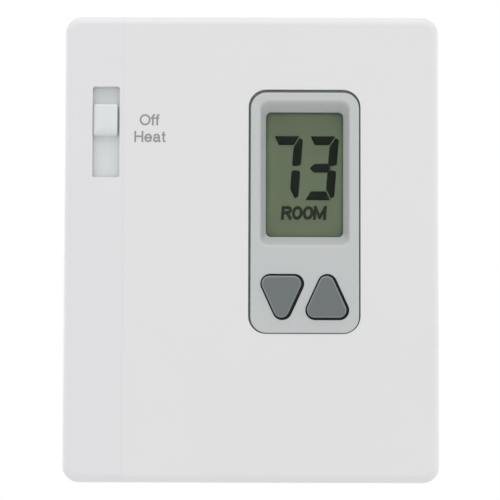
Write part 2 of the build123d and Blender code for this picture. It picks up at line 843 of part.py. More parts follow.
# Back cover: closes the front unit, with the cell tray and the sockets for the wall plate's posts
with BuildPart() as back_cover:
    plate_width = 2 * (inside_half(width, back_front) - back_gap)
    plate_height = 2 * (inside_half(height, back_front) - back_gap)
    with BuildSketch(layer(back_plate)):
        RectangleRounded(plate_width, plate_height, board_round)
        with Locations((plug_x, 0)):
            Rectangle(
                plug_width + 2 * running_gap, plug_length + 2 * running_gap, mode=Mode.SUBTRACT
            )
        for cell_center in cell_xs:
            with Locations((cell_center, tail_z)):
                Rectangle(
                    tail_width + 2 * tray_gap, contact_plate + 2 * tray_gap, mode=Mode.SUBTRACT
                )
    extrude(amount=back_thick)
    with BuildSketch(layer(back_front)):
        with GridLocations(screw_span_x, screw_span_z, 2, 2):
            Circle(boss_r)
    extrude(amount=board_back - back_front)
    with BuildSketch(layer(back_plate)):
        with GridLocations(screw_span_x, screw_span_z, 2, 2):
            Circle(screw_r + screw_gap)
    extrude(amount=board_back - back_plate, mode=Mode.SUBTRACT)
    tray_width = cell_pitch + 2 * cell_r + 2 * tray_gap
    with BuildSketch(layer(tray_rim)):
        with Locations((cell_x, 0)):
            Rectangle(tray_width + 2 * tray_wall, cell_space + 2 * tray_wall)
            Rectangle(tray_width, cell_space, mode=Mode.SUBTRACT)
    extrude(amount=back_plate - tray_rim)
    with BuildSketch(layer(socket_rim)):
        with GridLocations(post_span_x, post_span_z, 2, 2):
            Circle(post_r + post_fit + socket_wall)
            Circle(post_r + post_fit, mode=Mode.SUBTRACT)
    extrude(amount=back_plate - socket_rim)
pieces["back_cover"] = back_cover

# Case screws, from the back cover through the board into the front cover's bosses
with BuildPart() as case_screws:
    with BuildSketch(layer(back_plate)):
        with GridLocations(screw_span_x, screw_span_z, 2, 2):
            Circle(screw_r)
    extrude(amount=screw_length)
    with BuildSketch(layer(back_plate - screw_head_thick)):
        with GridLocations(screw_span_x, screw_span_z, 2, 2):
            Circle(screw_head_r)
    extrude(amount=screw_head_thick)
    fillet(case_screws.faces().group_by(Axis.Y)[-1].edges(), screw_head_thick / 3)
    with BuildSketch(layer(back_plate - screw_head_thick)):
        with GridLocations(screw_span_x, screw_span_z, 2, 2):
            Rectangle(2 * screw_r, cross_width)
            Rectangle(cross_width, 2 * screw_r)
    extrude(amount=cross_depth, mode=Mode.SUBTRACT)
pieces["case_screws"] = case_screws

# AAA cells: the left one stands with its nub up, the right one with its nub down
cell_ends = {
    "left_cell": (cell_xs[0], cell_top - contact_plate - contact_gap, -1),
    "right_cell": (cell_xs[1], -cell_top + contact_plate + contact_gap, 1),
}
for cell_name, (cell_center, nub_z, inward) in cell_ends.items():
    with BuildPart() as cell:
        with BuildSketch(Plane((cell_center, -cell_level, nub_z), z_dir=(0, 0, inward))):
            Circle(cell_nub_r)
        extrude(amount=cell_nub)
        shoulder_z = nub_z + inward * cell_nub
        with BuildSketch(Plane((cell_center, -cell_level, shoulder_z), z_dir=(0, 0, inward))):
            Circle(cell_r)
        extrude(amount=cell_length - cell_nub)
        fillet(cell.edges().filter_by(GeomType.CIRCLE).group_by(SortBy.RADIUS)[-1], cell_edge)
    pieces[cell_name] = cell

# Cell contacts: a plate at the tray's end, with a bowed leaf where it meets a cell's flat end
contact_back = cell_level - contact_tall / 2


def leaf_profile(center, plate_z, inward):
    """Side view of a leaf: a thin bow that stands from a contact plate towards the cell."""
    middle = -cell_level
    span = contact_tall / 2
    reach = inward * (contact_leaf + contact_gap)
    under = reach - inward * contact_plate
    with BuildSketch(Plane.YZ.offset(center - contact_width / 4)) as profile:
        with BuildLine():
            bow = ThreePointArc(
                (middle - span, plate_z), (middle, plate_z + reach), (middle + span, plate_z)
            )
            inner = ThreePointArc(
                (middle + span - contact_plate, plate_z),
                (middle, plate_z + under),
                (middle - span + contact_plate, plate_z),
            )
            Line(bow @ 1, inner @ 0)
            Line(inner @ 1, bow @ 0)
        make_face()
    return profile.sketch


with BuildPart() as cell_bridge:
    with BuildSketch(layer(contact_back)):
        with Locations((cell_x, cell_top - contact_plate / 2)):
            Rectangle(cell_pitch + contact_width, contact_plate)
    extrude(amount=contact_tall)
    extrude(leaf_profile(cell_xs[1], cell_top - contact_plate, -1), amount=contact_width / 2)
pieces["cell_bridge"] = cell_bridge

for contact_name, cell_center in zip(("cell_negative", "cell_positive"), cell_xs):
    with BuildPart() as contact:
        with BuildSketch(layer(contact_back)):
            with Locations((cell_center, tail_z)):
                Rectangle(contact_width, contact_plate)
        extrude(amount=contact_tall)
        with BuildSketch(layer(contact_back)):
            with Locations((cell_center, tail_z)):
                Rectangle(tail_width, contact_plate)
        extrude(amount=board_front - contact_back)
        if contact_name == "cell_negative":
            extrude(
                leaf_profile(cell_center, -cell_top + contact_plate, 1), amount=contact_width / 2
            )
    pieces[contact_name] = contact

# Wall plate: base, rim, screw slots with collars, wire window and four posts
rim_width = 2 * (width / 2 - cover_wall - running_gap)
rim_height = 2 * (height / 2 - cover_wall - running_gap)
rim_round = corner_round - cover_wall - running_gap
with BuildPart() as wall_plate:
    with BuildSketch(layer(0)):
        RectangleRounded(rim_width, rim_height, rim_round)
    extrude(amount=plate_thick)
    with BuildSketch(layer(plate_thick)):
        RectangleRounded(rim_width, rim_height, rim_round)
        Rectangle(rim_width - 2 * plate_rim, rim_height - 2 * plate_rim, mode=Mode.SUBTRACT)
    extrude(amount=plate_rim_depth - plate_thick)
    with BuildSketch(layer(plate_thick)):
        with GridLocations(1, wall_screw_span, 1, 2):
            SlotOverall(
                wall_slot_length + 2 * wall_slot_collar,
                2 * (wall_slot_r + wall_slot_collar),
                rotation=90,
            )
    extrude(amount=collar_rise)
    with BuildSketch(layer(0)):
        with GridLocations(1, wall_screw_span, 1, 2):
            SlotOverall(wall_slot_length, 2 * wall_slot_r, rotation=90)
        with Locations((wire_x, wire_z)):
            RectangleRounded(wire_width, wire_height, wire_round)
    extrude(amount=plate_thick + collar_rise, mode=Mode.SUBTRACT)
    with BuildSketch(layer(plate_thick)):
        with GridLocations(post_span_x, post_span_z, 2, 2):
            Circle(post_r)
    extrude(amount=post_top - plate_thick)
    chamfer(wall_plate.faces().sort_by(Axis.Y)[:4].edges(), post_chamfer)
pieces["wall_plate"] = wall_plate

# Terminal block: a bay for each wire, open to the wire window, and a well for each plug pin
block_left = terminal_x - terminal_width / 2
block_right = plug_x + plug_width / 2 + divider
block_length = terminal_count * terminal_pitch + divider
with BuildPart() as terminal_block:
    with BuildSketch(layer(plate_thick)):
        with Locations(((block_left + block_right) / 2, 0)):
            Rectangle(block_right - block_left, block_length)
    extrude(amount=terminal_top - plate_thick)
    bay_right = plug_x + plug_width / 2
    with BuildSketch(layer(bay_floor)):
        for terminal_z in terminal_zs:
            with Locations((block_left, terminal_z)):
                Rectangle(bay_right - block_left, bay_length, align=(Align.MIN, Align.CENTER))
    extrude(amount=terminal_top - bay_floor, mode=Mode.SUBTRACT)
    with BuildSketch(layer(plate_thick + divider)):
        for terminal_z in terminal_zs:
            with Locations((terminal_x, terminal_z)):
                Circle(terminal_screw_r + screw_bite)
    extrude(amount=bay_floor - plate_thick - divider, mode=Mode.SUBTRACT)
pieces["terminal_block"] = terminal_block

# Brass terminals: a plate under each screw, with two leaves that grip a plug pin
with BuildPart() as terminal_plates:
    for terminal_z in terminal_zs:
        with BuildSketch(layer(bay_floor)):
            with Locations((block_left + divider, terminal_z)):
                Rectangle(
                    plug_x + plug_leaf_length / 2 - block_left - divider,
                    bay_length - 2 * running_gap,
                    align=(Align.MIN, Align.CENTER),
                )
            with Locations((terminal_x, terminal_z)):
                Circle(terminal_screw_r + screw_gap, mode=Mode.SUBTRACT)
        extrude(amount=plate_metal)
        with BuildSketch(layer(terminal_level)):
            with Locations((plug_x, terminal_z)):
                with GridLocations(1, 2 * (plug_pin_r + plug_fit) + plug_leaf, 1, 2):
                    Rectangle(plug_leaf_length, plug_leaf)
        extrude(amount=plug_leaf_rise)
pieces["terminal_plates"] = terminal_plates

with BuildPart() as terminal_screws:
    for terminal_z in terminal_zs:
        with BuildSketch(layer(terminal_level)):
            with Locations((terminal_x, terminal_z)):
                Circle(terminal_head_r)
        extrude(amount=terminal_head_thick)
        with BuildSketch(layer(plate_thick + divider)):
            with Locations((terminal_x, terminal_z)):
                Circle(terminal_screw_r)
        extrude(amount=terminal_level - plate_thick - divider)
        with BuildSketch(layer(terminal_level + terminal_head_thick / 2)):
            with Locations((terminal_x, terminal_z)):
                Rectangle(2 * terminal_head_r, cross_width)
        extrude(amount=terminal_head_thick, mode=Mode.SUBTRACT)
pieces["terminal_screws"] = terminal_screws

os.makedirs("parts", exist_ok=True)
for name, piece in pieces.items():
    piece.part.label = name
    export_step(piece.part, f"parts/{name}.step")
    print(name, len(piece.part.solids()), round(piece.part.volume, 1))
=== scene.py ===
# %% [markdown]
# # A wall thermostat, dressed in Blender
# The solids come from CAD as a fixed frame: every piece is already in its place and at its size,
# in metres, with the wall at Y = 0, the room towards -Y and Z up.
# This lesson adds what CAD leaves out: finishes, a softer form of the switch knob, the display's
# figures, printed words and light.

# %% Load the frame
from math import cos, radians, sin, tan

import bmesh
import bpy
from mathutils import Matrix, Vector


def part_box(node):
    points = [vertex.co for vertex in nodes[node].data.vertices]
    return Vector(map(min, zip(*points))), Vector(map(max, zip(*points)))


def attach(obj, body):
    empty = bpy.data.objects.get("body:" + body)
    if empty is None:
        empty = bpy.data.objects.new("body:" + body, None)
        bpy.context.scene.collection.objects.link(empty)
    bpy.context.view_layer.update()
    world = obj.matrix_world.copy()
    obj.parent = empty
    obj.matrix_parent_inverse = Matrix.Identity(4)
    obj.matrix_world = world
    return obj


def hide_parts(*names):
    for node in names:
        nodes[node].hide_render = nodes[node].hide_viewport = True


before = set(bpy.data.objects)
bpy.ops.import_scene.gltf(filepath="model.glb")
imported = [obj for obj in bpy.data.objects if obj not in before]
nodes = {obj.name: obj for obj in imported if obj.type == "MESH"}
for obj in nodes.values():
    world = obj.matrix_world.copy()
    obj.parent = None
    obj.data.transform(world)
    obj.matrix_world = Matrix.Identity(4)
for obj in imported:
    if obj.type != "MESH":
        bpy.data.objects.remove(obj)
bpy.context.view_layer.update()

MM = 0.001

# %% [markdown]
# ## Camera
# The picture was taken nearly square on, from a little below: the face is about one percent wider
# at its foot than at its head. A camera could be aimed with a Track To constraint, but building its
# matrix from three directions is clearer and lets us add the small roll of a hand-held shot.

# %% Camera
camera_distance = 450 * MM
camera_tilt = radians(3.2)
camera_roll = radians(0.17)
camera_lens = 130.9
camera_sensor = 36.0
nearest_seen = 10 * MM
aim_x = -0.34 * MM
aim_z = -0.47 * MM
face_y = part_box("switch_strip")[0].y


def make_camera():
    """A camera that looks at the middle of the face from slightly below."""
    ahead = Vector((0, cos(camera_tilt), sin(camera_tilt)))
    level = Vector((1, 0, 0))
    upright = level.cross(ahead)
    across = cos(camera_roll) * level + sin(camera_roll) * upright
    up = cos(camera_roll) * upright - sin(camera_roll) * level
    lens = bpy.data.cameras.new("portrait")
    lens.sensor_width = camera_sensor
    lens.lens = camera_lens
    lens.clip_start = nearest_seen
    camera = bpy.data.objects.new("portrait", lens)
    place = Vector((aim_x, face_y, aim_z)) - camera_distance * ahead
    turn = Matrix((across, up, -ahead)).transposed().to_4x4()
    camera.matrix_world = Matrix.Translation(place) @ turn
    bpy.context.scene.collection.objects.link(camera)
    return camera


bpy.context.scene.camera = make_camera()
print("camera at", [round(v / MM, 1) for v in bpy.context.scene.camera.location], "mm")

# %% [markdown]
# ## Lamps
# Pale plastic shows its shape by very small changes of tone, so the light is soft and comes from
# nearly everywhere. A wide lamp overhead brightens what faces up, and a weak lamp at each side lifts
# the rounded edges. A second weak lamp at each side stands behind the object, so that only the
# outermost rim fades to white. Lamps could be small and hard, but then the shallow edges would turn
# black or burn out.

# %% Lamps
overhead_place = Vector((0.0, -0.45, 1.0))
overhead_power = 4.2
overhead_size = 0.9
side_place = Vector((0.9, -0.1, 0.0))
side_power = {"left": 0.6, "right": 1.0}
rim_place = Vector((0.8, 0.6, 0.0))
rim_power = 1.5
side_size = 0.6


def aim_lamp(name, place, power, size):
    """A square soft lamp that faces the object."""
    light = bpy.data.lights.new(name, "AREA")
    light.energy = power
    light.size = size
    lamp = bpy.data.objects.new(name, light)
    lamp.location = place
    lamp.rotation_euler = (-place).to_track_quat("-Z", "Y").to_euler()
    bpy.context.scene.collection.objects.link(lamp)
    return lamp


aim_lamp("overhead", overhead_place, overhead_power, overhead_size)
for side, power in side_power.items():
    mirror = Vector((-1 if side == "left" else 1, 1, 1))
    aim_lamp(side, side_place * mirror, power, side_size)
    aim_lamp(side + "_rim", rim_place * mirror, rim_power, side_size)

# %% [markdown]
# ## White surroundings
# The world adds an even fill, but at the strength that suits the object the background would be pale
# grey. More fill would whiten it and bleach the plastic too. Instead, the Light Path node tells rays
# that show a thing from rays that carry light: the first kind meets white, the second kind the fill.
# The helpers come first. Each plugs values and links into new nodes, and later cells use them again.

# %% Node helpers


def plug(tree, node, inputs):
    """Plugs a node's inputs, given by name or number, with plain values or with links."""
    for key, value in inputs.items():
        if isinstance(value, bpy.types.NodeSocket):
            tree.links.new(value, node.inputs[key])
        else:
            node.inputs[key].default_value = value
    return node


def add_node(tree, kind, inputs, **settings):
    """A new node with its settings made and its inputs plugged."""
    made = tree.nodes.new(kind)
    for name, value in settings.items():
        setattr(made, name, value)
    return plug(tree, made, inputs)


def math_node(tree, operation, *values):
    """The result of a Math node on values or links."""
    made = add_node(tree, "ShaderNodeMath", dict(enumerate(values)), operation=operation)
    return made.outputs["Value"]


def seen_rays(tree):
    """1 for rays that show a thing, straight, mirrored or through glass, and 0 for rays of light."""
    path = tree.nodes.new("ShaderNodeLightPath")
    direct = math_node(tree, "MAXIMUM", path.outputs["Is Camera Ray"], path.outputs["Is Glossy Ray"])
    return math_node(tree, "MAXIMUM", direct, path.outputs["Is Transmission Ray"])


def mix_shaders(tree, amount, first, second):
    """The first shader where amount is 0, the second where it is 1."""
    made = add_node(tree, "ShaderNodeMixShader", {0: amount, 1: first, 2: second})
    return made.outputs["Shader"]


print("node helpers ready")

# %% World
fill_strength = 0.81
white = (1, 1, 1, 1)


def white_world():
    """An even fill that the camera, mirrors and glass see as plain white."""
    world = bpy.data.worlds.new("studio")
    world.use_nodes = True
    tree = world.node_tree
    tree.nodes.clear()
    fill = add_node(tree, "ShaderNodeBackground", {"Color": white, "Strength": fill_strength})
    seen = add_node(tree, "ShaderNodeBackground", {"Color": white, "Strength": 1.0})
    mixed = mix_shaders(tree, seen_rays(tree), fill.outputs["Background"], seen.outputs["Background"])
    add_node(tree, "ShaderNodeOutputWorld", {"Surface": mixed})
    return world


bpy.context.scene.world = white_world()
bpy.context.scene.view_settings.view_transform = "Standard"
print("world:", bpy.context.scene.world.name, "with a fill of", fill_strength)

# %% [markdown]
# ## Helpers for finishes
# Every finish here is a Principled shader fed by a few procedural textures on Object coordinates.
# Patterns on Object coordinates keep their real size on every piece, because all pieces share one frame.
# What several finishes share, such as the fine grain of a moulded skin, is a node group that is built once.

# %% Places and noises


def object_place(tree):
    """Object coordinates, in metres."""
    return tree.nodes.new("ShaderNodeTexCoord").outputs["Object"]


def noise(tree, place, scale, detail=2.0):
    """Noise from 0 to 1; scale is in bumps per metre."""
    inputs = {"Vector": place, "Scale": scale, "Detail": detail}
    return add_node(tree, "ShaderNodeTexNoise", inputs).outputs["Fac"]


def object_noise(tree, scale, detail=2.0):
    """Noise in Object coordinates."""
    return noise(tree, object_place(tree), scale, detail)


def swing(tree, fac, reach):
    """A noise, turned into a swing of up to reach either way."""
    centred = math_node(tree, "MULTIPLY_ADD", fac, 2.0, -1.0)
    return math_node(tree, "MULTIPLY", centred, reach)


print("noise helpers ready")

# %% Colours and groups
FLOAT = "NodeSocketFloat"
COLOR = "NodeSocketColor"


def scaled_color(tree, color, level):
    """A colour made lighter or darker by a level."""
    made = add_node(tree, "ShaderNodeVectorMath", {0: color, "Scale": level}, operation="SCALE")
    return made.outputs["Vector"]


def group_tree(name, inputs, outputs):
    """An empty shader group with named sockets, and its two end nodes."""
    tree = bpy.data.node_groups.new(name, "ShaderNodeTree")
    for socket, kind, value in inputs:
        made = tree.interface.new_socket(socket, in_out="INPUT", socket_type=kind)
        made.default_value = value
    for socket, kind in outputs:
        tree.interface.new_socket(socket, in_out="OUTPUT", socket_type=kind)
    return tree, tree.nodes.new("NodeGroupInput"), tree.nodes.new("NodeGroupOutput")


print("colour and group helpers ready")

# %% [markdown]
# ## Moulded skin
# Injection-moulded plastic is never one flat colour: the tool's fine spark texture breaks up the gloss,
# and the resin is a touch uneven over a hand's width. One noise is the grain, seen in height and gloss,
# and a broad one shifts the colour by a percent or two. A bitmap could do it, but noise needs no file.

# %% Moulded skin group
skin_color = (0.8, 0.8, 0.8, 1)
skin_roughness = 0.45
skin_grain = 4000.0
skin_tone = 0.02
grain_detail = 3.0
grain_gloss = 0.08
cloud_scale = 22.0
cloud_detail = 3.0


def moulded_skin():
    """Colour, roughness and height of a moulded plastic skin."""
    tree, start, end = group_tree(
        "moulded skin",
        [
            ("Color", COLOR, skin_color),
            ("Roughness", FLOAT, skin_roughness),
            ("Grain Scale", FLOAT, skin_grain),
            ("Tone Shift", FLOAT, skin_tone),
        ],
        [("Color", COLOR), ("Roughness", FLOAT), ("Height", FLOAT)],
    )
    given = start.outputs
    grain = object_noise(tree, given["Grain Scale"], grain_detail)
    clouds = object_noise(tree, cloud_scale, cloud_detail)
    level = math_node(tree, "ADD", swing(tree, clouds, given["Tone Shift"]), 1.0)
    gloss = math_node(tree, "ADD", swing(tree, grain, grain_gloss), given["Roughness"])
    color = scaled_color(tree, given["Color"], level)
    plug(tree, end, {"Color": color, "Roughness": gloss, "Height": grain})
    return tree


skin_group = moulded_skin()
print("group:", skin_group.name, [s.name for s in skin_group.interface.items_tree if s.in_out == "OUTPUT"])

# %% [markdown]
# ## Painted light by depth
# A thin band just behind a piece's front face is painted lighter, a painted highlight on its rounded rims,
# and all that lies deeper is painted darker, a painted shade in recesses and gaps. Both follow the depth
# behind the piece's front face, so one group reads Object Y and scales a colour.
# Painting it by hand would work too, but would have to be redone whenever the shape changes.

# %% Axes and ranges


def object_axes(tree):
    """Object coordinates as the three outputs X, Y and Z."""
    return add_node(tree, "ShaderNodeSeparateXYZ", {"Vector": object_place(tree)}).outputs


def map_range(tree, value, low, high, first, last):
    """A value that runs from first to last while another one runs from low to high."""
    inputs = {"Value": value, "From Min": low, "From Max": high, "To Min": first, "To Max": last}
    return add_node(tree, "ShaderNodeMapRange", inputs).outputs["Result"]


print("axis and range helpers ready")

# %% Painted highlight and shade group
# Depths of the thin band that is painted as a highlight on rounded rims
rim_start = 0.02 * MM
rim_full = 0.10 * MM
rim_fade = 0.35 * MM
rim_end = 0.60 * MM


def painted_rim_and_shade():
    """Scales a colour on a thin band behind a piece's front, as a painted highlight, and on all that lies
    deeper, as a painted shade.
    """
    tree, start, end = group_tree(
        "painted rim highlight and shade",
        [
            ("Color", COLOR, skin_color),
            ("Front", FLOAT, 0.0),
            ("Painted Highlight Tone", FLOAT, 1.0),
            ("Painted Shade Start", FLOAT, 1 * MM),
            ("Painted Shade End", FLOAT, 2 * MM),
            ("Painted Shade Tone", FLOAT, 1.0),
        ],
        [("Color", COLOR)],
    )
    given = start.outputs
    behind = math_node(tree, "SUBTRACT", object_axes(tree)["Y"], given["Front"])
    rising = map_range(tree, behind, rim_start, rim_full, 0.0, 1.0)
    falling = map_range(tree, behind, rim_fade, rim_end, 1.0, 0.0)
    band = math_node(tree, "MULTIPLY", rising, falling)
    rim = math_node(tree, "MULTIPLY_ADD", band, math_node(tree, "SUBTRACT", given["Painted Highlight Tone"], 1.0), 1.0)
    # Painted shade on all that lies deeper than the band
    sunk = map_range(tree, behind, given["Painted Shade Start"], given["Painted Shade End"], 1.0, given["Painted Shade Tone"])
    level = math_node(tree, "MULTIPLY", rim, sunk)
    plug(tree, end, {"Color": scaled_color(tree, given["Color"], level)})
    return tree


painted_light_group = painted_rim_and_shade()
print("group:", painted_light_group.name, [s.name for s in painted_light_group.interface.items_tree if s.in_out == "INPUT"])

# %% [markdown]
# ## The plastic finish
# Cover, bezel, keys and most of the inside are moulded, each in its own colour, gloss and coarseness.
# Building a material by hand for each would repeat the same dozen nodes. So one function places the skin
# group, turns its height into a fine bump and, where asked for, puts painted highlight and shade by depth
# in between.

# %% Materials


def blank_material(name):
    """A new material, its node tree and its Principled shader."""
    made = bpy.data.materials.new(name)
    made.use_nodes = True
    return made, made.node_tree, made.node_tree.nodes["Principled BSDF"]


def add_group(tree, group, inputs):
    """A group placed in a material, with its inputs plugged, as its outputs."""
    return add_node(tree, "ShaderNodeGroup", inputs, node_tree=group).outputs


def relief(tree, height, strength, depth):
    """A normal that follows a height; depth is in metres."""
    inputs = {"Height": height, "Strength": strength, "Distance": depth}
    return add_node(tree, "ShaderNodeBump", inputs).outputs["Normal"]


print("material helpers ready")

# %% Moulded plastic
skin_relief = 0.12
skin_depth = 0.01 * MM


def moulded_plastic(name, color, roughness, grain=skin_grain, depth=skin_depth, painted_by_depth=None):
    """A moulded plastic finish; depth is the grain's height, and the last argument sets the inputs of the
    painted highlight and shade by depth.
    """
    made, tree, shader = blank_material(name)
    skin = add_group(tree, skin_group, {"Color": (*color, 1), "Roughness": roughness, "Grain Scale": grain})
    shown = skin["Color"]
    # Painted highlight and shade by depth, where asked for
    if painted_by_depth:
        shown = add_group(tree, painted_light_group, {"Color": shown, **painted_by_depth})["Color"]
    normal = relief(tree, skin["Height"], skin_relief, depth)
    plug(tree, shader, {"Base Color": shown, "Roughness": skin["Roughness"], "Normal": normal})
    return made


print("finish maker ready:", moulded_plastic.__name__)

# %% [markdown]
# ## Worked metal
# Screws, contacts and cans are stamped or turned, so their gloss runs in fine streaks. An anisotropic
# shader could hint at them, but it needs tangents on every piece. Noise stretched 25 times along one
# direction gives such streaks on any shape.

# %% Worked metal
streak_scale = 9000.0
streak_stretch = 0.04
streak_swing = 0.15
metal_color = (0.7, 0.7, 0.7, 1)
metal_roughness = 0.3
metal_relief = 0.08
metal_depth = 0.01 * MM


def worked_metal():
    """Colour, roughness and height of a stamped or turned metal."""
    tree, start, end = group_tree(
        "worked metal",
        [
            ("Color", COLOR, metal_color),
            ("Roughness", FLOAT, metal_roughness),
            ("Stretch", FLOAT, streak_stretch),
        ],
        [("Color", COLOR), ("Roughness", FLOAT), ("Height", FLOAT)],
    )
    given = start.outputs
    squeeze = add_node(tree, "ShaderNodeCombineXYZ", {"X": 1.0, "Y": 1.0, "Z": given["Stretch"]})
    factors = {0: object_place(tree), 1: squeeze.outputs["Vector"]}
    along = add_node(tree, "ShaderNodeVectorMath", factors, operation="MULTIPLY").outputs["Vector"]
    streak = noise(tree, along, streak_scale)
    sway = swing(tree, streak, streak_swing)
    color = scaled_color(tree, given["Color"], math_node(tree, "ADD", sway, 1.0))
    gloss = math_node(tree, "ADD", sway, given["Roughness"])
    plug(tree, end, {"Color": color, "Roughness": gloss, "Height": streak})
    return tree


metal_group = worked_metal()


def metal(name, color, roughness, stretch=streak_stretch):
    """A bare metal finish with streaks along Z."""
    made, tree, shader = blank_material(name)
    work = add_group(tree, metal_group, {"Color": (*color, 1), "Roughness": roughness, "Stretch": stretch})
    normal = relief(tree, work["Height"], metal_relief, metal_depth)
    plug(tree, shader, {
        "Base Color": work["Color"], "Roughness": work["Roughness"], "Normal": normal, "Metallic": 1.0,
    })
    return made


print("group:", metal_group.name)

# %% [markdown]
# ## Dressing the outside
# The cover and the strip are the same off-white resin from different tools, so they differ by a hair
# in tone. The bezel is a cooler grey, and the keys are a dark grey with a softer skin. New meshes would
# only copy what CAD already has right, so each of these nodes keeps its shape and swaps its material.

# %% Outside finishes
satin = 0.5
cover_color = (0.735, 0.735, 0.742)
strip_color = (0.730, 0.726, 0.742)
bezel_color = (0.512, 0.532, 0.530)
key_color = (0.134, 0.150, 0.150)
shell_color = (0.70, 0.70, 0.70)
bezel_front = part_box("display_bezel")[0].y
key_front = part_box("up_button")[0].y
key_proud = bezel_front - key_front
# How far behind the bezel's front the keys' painted shade deepens
key_shade = 0.6 * MM
# Painted shade: the bezel turns darker where it lies deeper than its front, on the display recess's slopes
# and in the gaps round the keys and the cover
bezel_painted_shade = {"Front": bezel_front, "Painted Shade Start": 0.35 * MM, "Painted Shade End": 1.0 * MM, "Painted Shade Tone": 0.88}
# Painted light on the keys: a thin band behind their front is painted lighter as a highlight on the rounded
# rims, and from the bezel's front back, where the flange shows through the gaps, they are painted near
# black as shade
key_painted_light = {
    "Front": key_front, "Painted Highlight Tone": 1.55,
    "Painted Shade Start": key_proud, "Painted Shade End": key_proud + key_shade, "Painted Shade Tone": 0.15,
}


def dress(material, *names):
    """Gives CAD nodes one material in place of the one they came with."""
    for name in names:
        slots = nodes[name].data.materials
        slots.clear()
        slots.append(material)


key_skin = moulded_plastic("key skin", key_color, satin, grain=6000.0, depth=0.015 * MM, painted_by_depth=key_painted_light)
shell_resin = moulded_plastic("shell resin", shell_color, roughness=0.55, grain=3000.0)
dress(moulded_plastic("cover resin", cover_color, satin), "front_cover")
dress(moulded_plastic("strip resin", strip_color, satin), "switch_strip")
dress(moulded_plastic("bezel resin", bezel_color, satin, painted_by_depth=bezel_painted_shade), "display_bezel")
dress(key_skin, "up_button", "down_button")
dress(shell_resin, "back_cover", "wall_plate")
print("dressed:", key_skin.name, "proud of the bezel by", round(key_proud / MM, 2), "mm;", shell_resin.name)

# %% [markdown]
# ## The display
# A reflective liquid crystal shows dark figures on a grey-green ground. The ground is the polariser on
# the front glass. Towards the edge of the opening that it is seen through, it is painted lighter, painted
# light against the recess's shade, and all round its very edge a thin dark line is a painted shadow of the
# bezel's lip.
# That edge is a rounded rectangle, and a few Math nodes give the distance to it, so no picture has to be
# painted and fitted.

# %% The edge of the opening
sight_margin = Vector((1.6 * MM, 0, 3.365 * MM))
sight_round = 1.3 * MM
glass_low, glass_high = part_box("lcd_front_glass")
glass_middle = (glass_low + glass_high) / 2
sight_half = (glass_high - glass_low) / 2 - sight_margin


def sight_edge(tree):
    """The distance past the rounded edge of the opening, below zero inside it."""
    axes = object_axes(tree)
    reach = []
    for axis, middle, half in (("X", glass_middle.x, sight_half.x), ("Z", glass_middle.z, sight_half.z)):
        off = math_node(tree, "ABSOLUTE", math_node(tree, "SUBTRACT", axes[axis], middle))
        reach.append(math_node(tree, "SUBTRACT", off, half - sight_round))
    inside = math_node(tree, "MINIMUM", math_node(tree, "MAXIMUM", *reach), 0.0)
    squares = [math_node(tree, "POWER", math_node(tree, "MAXIMUM", side, 0.0), 2.0) for side in reach]
    corner = math_node(tree, "SQRT", math_node(tree, "ADD", *squares))
    return math_node(tree, "SUBTRACT", math_node(tree, "ADD", corner, inside), sight_round)


print("opening:", [round(2 * half / MM, 2) for half in (sight_half.x, sight_half.z)], "mm")

# %% Ramps


def between(tree, fac, low, high):
    """A noise, stretched so that it runs from low to high."""
    return map_range(tree, fac, 0.0, 1.0, low, high)


def two_tones(tree, amount, first, last, start=0.0, end=1.0):
    """A ramp that is the first colour up to start and the last colour from end."""
    ramp = add_node(tree, "ShaderNodeValToRGB", {"Fac": amount})
    for element, color, position in zip(ramp.color_ramp.elements, (first, last), (start, end)):
        element.position = position
        element.color = (*color, 1)
    return ramp.outputs["Color"]


print("ramp helpers ready")

# %% Display ground
# Painted light that lifts the ground towards the opening's edge against the recess's shade, and a painted
# shadow line right at the edge
painted_light_reach = 4.0 * MM
painted_edge_light = 1.24
painted_shadow_width = 0.5 * MM
painted_shadow_tone = 0.75
ground_dark = (0.156, 0.199, 0.121)
ground_light = (0.173, 0.218, 0.136)
ground_mottle = 260.0
ground_haze = (0.4, 0.5)


def display_ground():
    """The grey-green polariser: faintly mottled, painted lighter towards the opening's edge against the
    recess's shade, with a painted shadow line at the very edge.
    """
    made, tree, shader = blank_material("display ground")
    mottle = object_noise(tree, ground_mottle, detail=4.0)
    edge = sight_edge(tree)
    # Painted light near the edge of the opening, then a painted shadow line at the edge itself
    lift = map_range(tree, edge, -painted_light_reach, -painted_shadow_width, 1.0, painted_edge_light)
    line = map_range(tree, edge, -painted_shadow_width, -painted_shadow_width / 2, 1.0, painted_shadow_tone)
    ground = two_tones(tree, mottle, ground_dark, ground_light, start=0.3, end=0.7)
    color = scaled_color(tree, ground, math_node(tree, "MULTIPLY", lift, line))
    haze = between(tree, mottle, *ground_haze)
    plug(tree, shader, {"Base Color": color, "Roughness": haze, "Specular IOR Level": 0.12})
    return made


dress(display_ground(), "lcd_front_glass", "lcd_rear_glass")
print("ground on", nodes["lcd_front_glass"].name, "and", nodes["lcd_rear_glass"].name)

# %% [markdown]
# ## The window
# A thin clear moulding protects the glass. A refracting shader would leave the ground in the window's
# own shadow, so the window is a nearly clear sheet instead: a low alpha lets the lamps shine through it,
# and a faint smear in that alpha keeps it from looking like empty air.

# %% Clear window
veil_color = (0.05, 0.055, 0.05, 1)
veil_alpha = (0.05, 0.07)
smear_scale = 90.0


def clear_window():
    """A clear moulded window, as a thin veil that the lamps shine through."""
    made, tree, shader = blank_material("clear window")
    veil = between(tree, object_noise(tree, smear_scale, detail=3.0), *veil_alpha)
    plug(tree, shader, {"Base Color": veil_color, "Roughness": 0.08, "Alpha": veil})
    return made


dress(clear_window(), "display_window")
print("window:", nodes["display_window"].data.materials[0].name)

